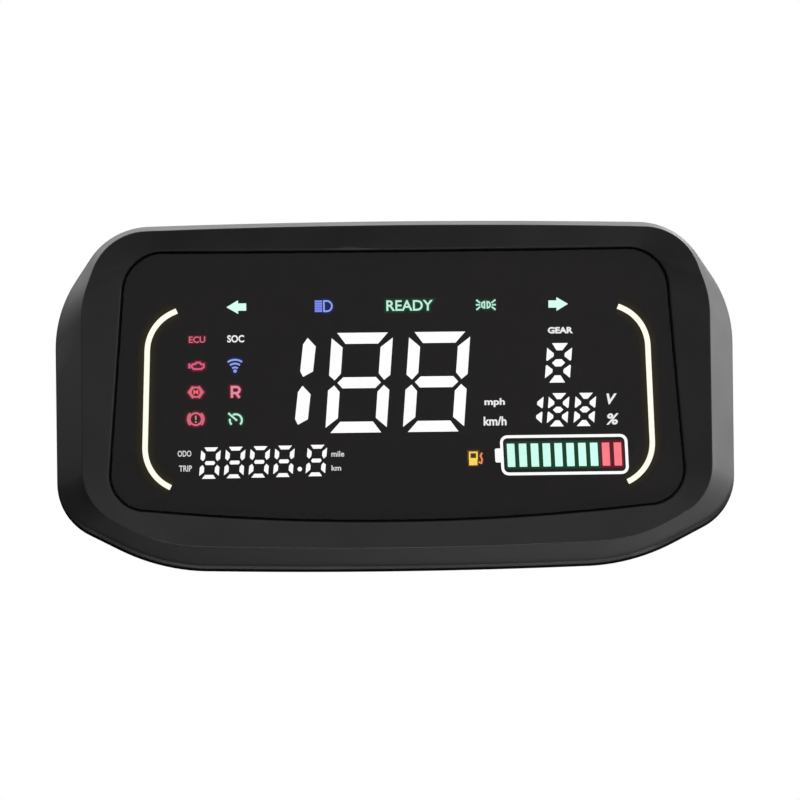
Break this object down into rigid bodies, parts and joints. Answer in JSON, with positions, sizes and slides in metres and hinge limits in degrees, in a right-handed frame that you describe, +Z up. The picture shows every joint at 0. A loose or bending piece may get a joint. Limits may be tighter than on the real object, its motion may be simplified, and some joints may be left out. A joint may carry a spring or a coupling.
{
  "type": "motorcycle instrument cluster",
  "caption": "Sealed display cluster for a motorcycle: dished black bezel, smoked lens over a segmented light-box display, rear cover with mounting posts and a latched pigtail plug.",
  "frame": {"origin": "centre of the rest pad on the back, in the plane of the end faces of the mounting posts", "axes": "+X to the rider's right, +Z up, the display faces -Y; the case is symmetric about X=0, the pigtail is not"},
  "size_m": [0.172, 0.0699, 0.0889],
  "materials": {
    "black_abs": "fine spark-grain satin black",
    "smoked_acrylic": "polished smoked tint",
    "foam_tape": "black foam adhesive",
    "mask_black": "matt printed black",
    "diffuser_white": "translucent white",
    "reflector_white": "matt white",
    "light_bar_white": "clear warm light guide",
    "circuit_board": "green solder mask",
    "component_black": "moulded epoxy",
    "can_silver": "drawn can",
    "nylon_white": "natural nylon",
    "seal_rubber": "moulded rubber",
    "vent_grey": "moulded grey",
    "cable_pvc": "extruded sheath",
    "plug_black": "glass-filled nylon",
    "lock_orange": "moulded orange",
    "seal_silicone": "silicone",
    "brass": "knurled brass",
    "zinc_steel": "zinc plated"
  },
  "bodies": {
    "cluster": {"board_header_left": "component_black", "board_header_right": "component_black", "board_screw_1": "zinc_steel", "board_screw_2": "zinc_steel", "board_screw_3": "zinc_steel", "board_screw_4": "zinc_steel", "bus_chip": "component_black", "cable": "cable_pvc", "cable_boot": "seal_rubber", "cable_grommet": "seal_rubber", "capacitor_left": "can_silver", "capacitor_right": "can_silver", "case_screw_1": "zinc_steel", "case_screw_2": "zinc_steel", "case_screw_3": "zinc_steel", "case_screw_4": "zinc_steel", "case_screw_5": "zinc_steel", "case_screw_6": "zinc_steel", "display_board": "circuit_board", "front_bezel": "black_abs", "legend_film": "mask_black", "lens": "smoked_acrylic", "lens_tape": "foam_tape", "light_bar_left": "light_bar_white", "light_bar_right": "light_bar_white", "main_board": "circuit_board", "mask_plate": "mask_black", "mcu_chip": "component_black", "module_screw_1": "zinc_steel", "module_screw_2": "zinc_steel", "module_screw_3": "zinc_steel", "module_screw_4": "zinc_steel", "mount_insert_1": "brass", "mount_insert_2": "brass", "mount_insert_3": "brass", "perimeter_seal": "seal_rubber", "plug_body": "plug_black", "plug_seal": "seal_silicone", "power_inductor": "component_black", "power_regulator": "component_black", "rear_cover": "black_abs", "reflector": "reflector_white", "segment_diffuser": "diffuser_white", "terminal_1": "brass", "terminal_2": "brass", "terminal_3": "brass", "terminal_4": "brass", "terminal_5": "brass", "terminal_6": "brass", "terminal_7": "brass", "terminal_8": "brass", "vent_cap": "vent_grey", "wire_header": "nylon_white", "wire_plug": "nylon_white"},
    "plug_latch": {"plug_latch": "plug_black"},
    "plug_lock": {"plug_lock": "lock_orange"}
  },
  "joints": [
    {"name": "latch_hinge", "type": "hinge", "parent": "cluster", "child": "plug_latch", "pos_m": [0.024, 0.0281, -0.013], "axis": [0, 0, 1], "range_deg": [0, 8]},
    {"name": "lock_slide", "type": "slide", "parent": "cluster", "child": "plug_lock", "axis": [1, 0, 0], "range_m": [0, 0.0015]}
  ]
}
